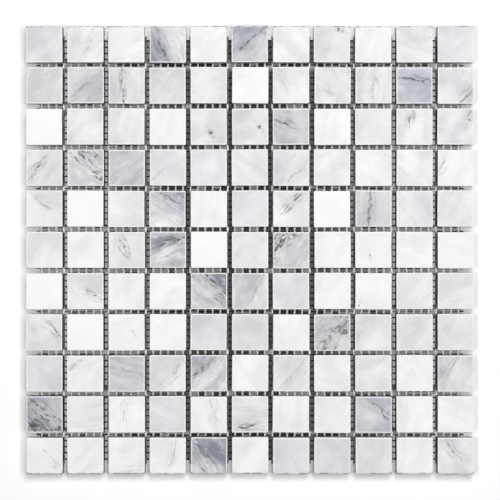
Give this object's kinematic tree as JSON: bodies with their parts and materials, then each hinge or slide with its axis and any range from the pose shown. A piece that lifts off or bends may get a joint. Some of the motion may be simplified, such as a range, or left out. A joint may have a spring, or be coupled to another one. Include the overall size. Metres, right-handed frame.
{
  "type": "marble mosaic tile",
  "caption": "Square sheet of small white and grey marble chips with open joints, bonded to a woven glass net, for tiling walls and floors.",
  "frame": {"origin": "middle of the sheet on the net's underside, the plane that lies on the floor", "axes": "+Z out of the chips' faces, +X along the rows of chips, +Y along the columns towards the first row"},
  "size_m": [0.3019, 0.302, 0.0101],
  "materials": {
    "marble": "satin",
    "glass_yarn": "matte"
  },
  "bodies": {
    "root": {"chip_row_01": "marble", "chip_row_02": "marble", "chip_row_03": "marble", "chip_row_04": "marble", "chip_row_05": "marble", "chip_row_06": "marble", "chip_row_07": "marble", "chip_row_08": "marble", "chip_row_09": "marble", "chip_row_10": "marble", "chip_row_11": "marble", "warp_yarns": "glass_yarn", "weft_yarns": "glass_yarn"}
  },
  "joints": []
}
